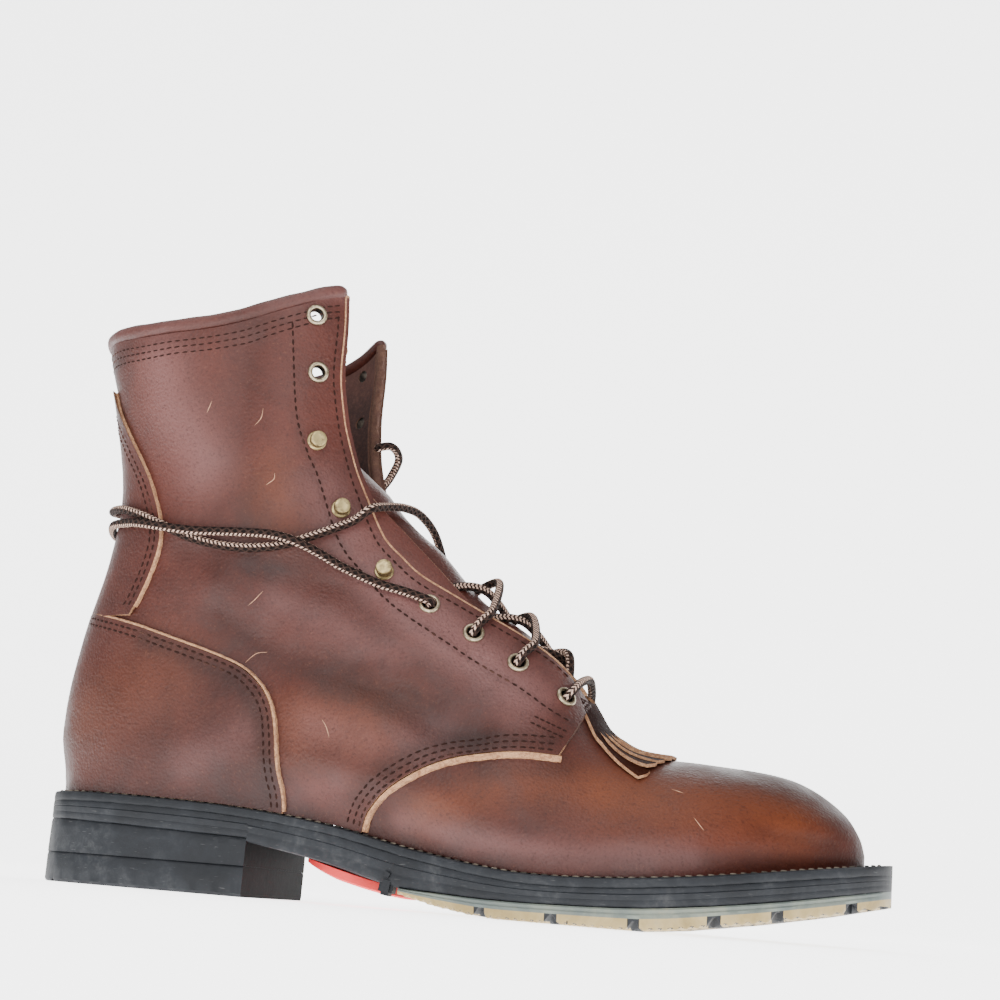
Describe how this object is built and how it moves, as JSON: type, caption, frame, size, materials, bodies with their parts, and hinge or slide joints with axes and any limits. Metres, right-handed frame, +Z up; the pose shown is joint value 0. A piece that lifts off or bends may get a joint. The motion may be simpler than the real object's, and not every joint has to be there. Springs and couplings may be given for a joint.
{
  "type": "kiltie packer boot",
  "caption": "Right laced leather packer boot with a fringed kiltie, heel counter, stacked heel and lugged forefoot tread.",
  "frame": {"origin": "on the floor, under the middle of the boot's box without its free lace", "axes": "+X from the heel to the toe, +Y to the inner side of this right boot, +Z up"},
  "size_m": [0.3064, 0.1082, 0.2255],
  "materials": {
    "leather": "oiled, soft sheen, pulled creases",
    "tongue_leather": "oiled, soft sheen",
    "insole_board": "dull tan board",
    "black_rubber": "matt, dusty",
    "gum_rubber": "cloudy honey, worn",
    "red_rubber": "satin",
    "brass": "aged, softly polished",
    "lace": "round braid with a pale tracer"
  },
  "bodies": {
    "root": {"upper": "leather", "heel_counter": "leather", "backstay": "leather", "collar_binding": "leather", "kiltie": "leather", "tongue": "tongue_leather", "insole": "insole_board", "welt": "black_rubber", "midsole": "black_rubber", "tread": "gum_rubber", "waist_insert": "red_rubber", "heel_lift": "black_rubber", "heel_top_lift": "black_rubber", "lace_crossings": "lace", "lace_end_outer": "lace", "lace_end_inner": "lace", "eyelet_outer_1": "brass", "eyelet_outer_2": "brass", "eyelet_outer_3": "brass", "eyelet_outer_4": "brass", "eyelet_outer_8": "brass", "eyelet_outer_9": "brass", "eyelet_inner_1": "brass", "eyelet_inner_2": "brass", "eyelet_inner_3": "brass", "eyelet_inner_4": "brass", "eyelet_inner_8": "brass", "eyelet_inner_9": "brass", "hook_outer_5": "brass", "hook_outer_6": "brass", "hook_outer_7": "brass", "hook_inner_5": "brass", "hook_inner_6": "brass", "hook_inner_7": "brass"}
  },
  "joints": []
}
